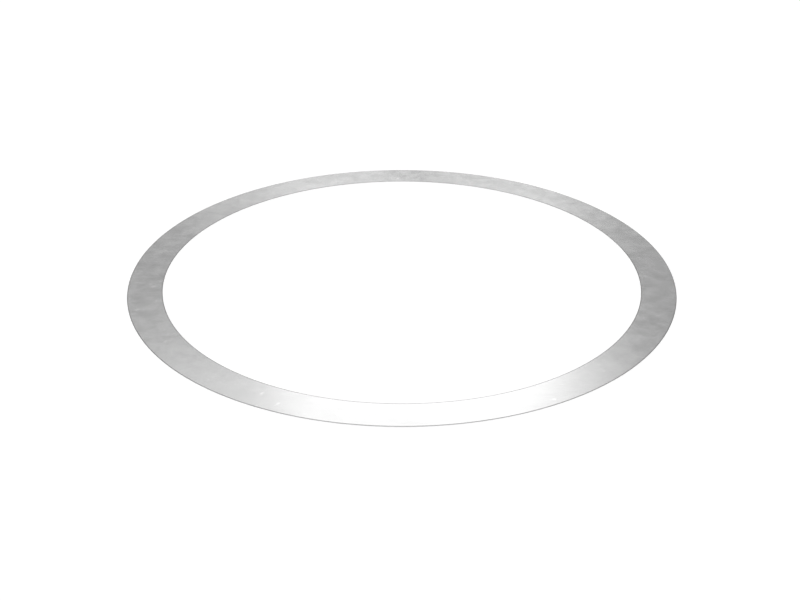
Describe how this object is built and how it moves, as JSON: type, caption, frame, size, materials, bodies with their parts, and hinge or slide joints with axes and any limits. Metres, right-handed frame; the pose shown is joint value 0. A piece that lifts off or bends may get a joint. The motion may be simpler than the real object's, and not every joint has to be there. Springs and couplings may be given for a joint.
{
  "type": "shim ring",
  "caption": "Thin flat steel ring that goes over a shaft or into a housing and takes up end play beside a bearing or gear.",
  "frame": {"origin": "centre of the bore on the underside, which is the face that the ring lies on", "axes": "+Z along the bore axis, up through the face whose edges are rolled over by the blanking tool"},
  "size_m": [0.16, 0.16, 0.0002],
  "materials": {
    "strip_steel": "bright cold-rolled strip, bare, with a fine straight rolling grain and faint clouding"
  },
  "bodies": {
    "root": {"shim_ring": "strip_steel"}
  },
  "joints": []
}
